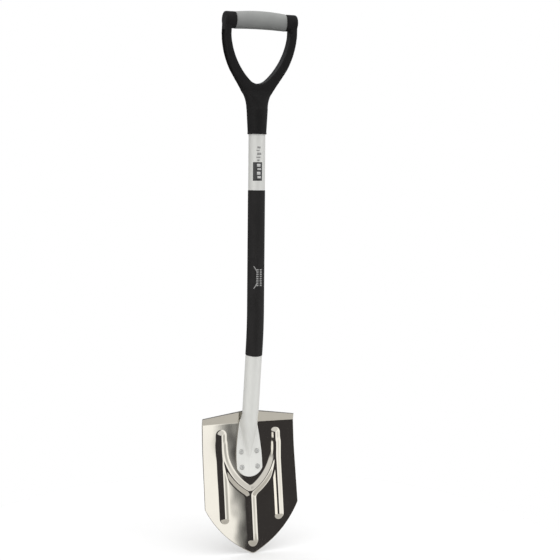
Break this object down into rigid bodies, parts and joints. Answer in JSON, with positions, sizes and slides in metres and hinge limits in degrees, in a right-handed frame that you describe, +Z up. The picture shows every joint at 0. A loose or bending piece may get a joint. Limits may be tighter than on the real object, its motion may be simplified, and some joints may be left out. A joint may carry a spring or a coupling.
{
  "type": "digging shovel",
  "caption": "Light fixed digging shovel: pointed, ribbed steel blade riveted to a cranked alloy tube, with a shaft sleeve and a D-grip.",
  "frame": {"origin": "middle of the bounding box in plan, at the tip of the blade, with the shovel upright", "axes": "+Z up along the upper shaft, -Y is the working face of the blade, X is across the blade and is the plane of symmetry's normal"},
  "size_m": [0.1824, 0.0648, 0.9807],
  "materials": {
    "blade_steel": "polished stainless sheet",
    "alloy_tube": "satin anodised",
    "rivet_alloy": "satin",
    "sleeve_rubber": "matt black",
    "handle_plastic": "fine spark-eroded texture",
    "grip_rubber": "matt grey",
    "screw_steel": "zinc plated"
  },
  "bodies": {
    "root": {"blade": "blade_steel", "shaft": "alloy_tube", "blade_rivets": "rivet_alloy", "shaft_sleeve": "sleeve_rubber", "handle_frame": "handle_plastic", "hand_grip": "grip_rubber", "handle_screw": "screw_steel"}
  },
  "joints": []
}
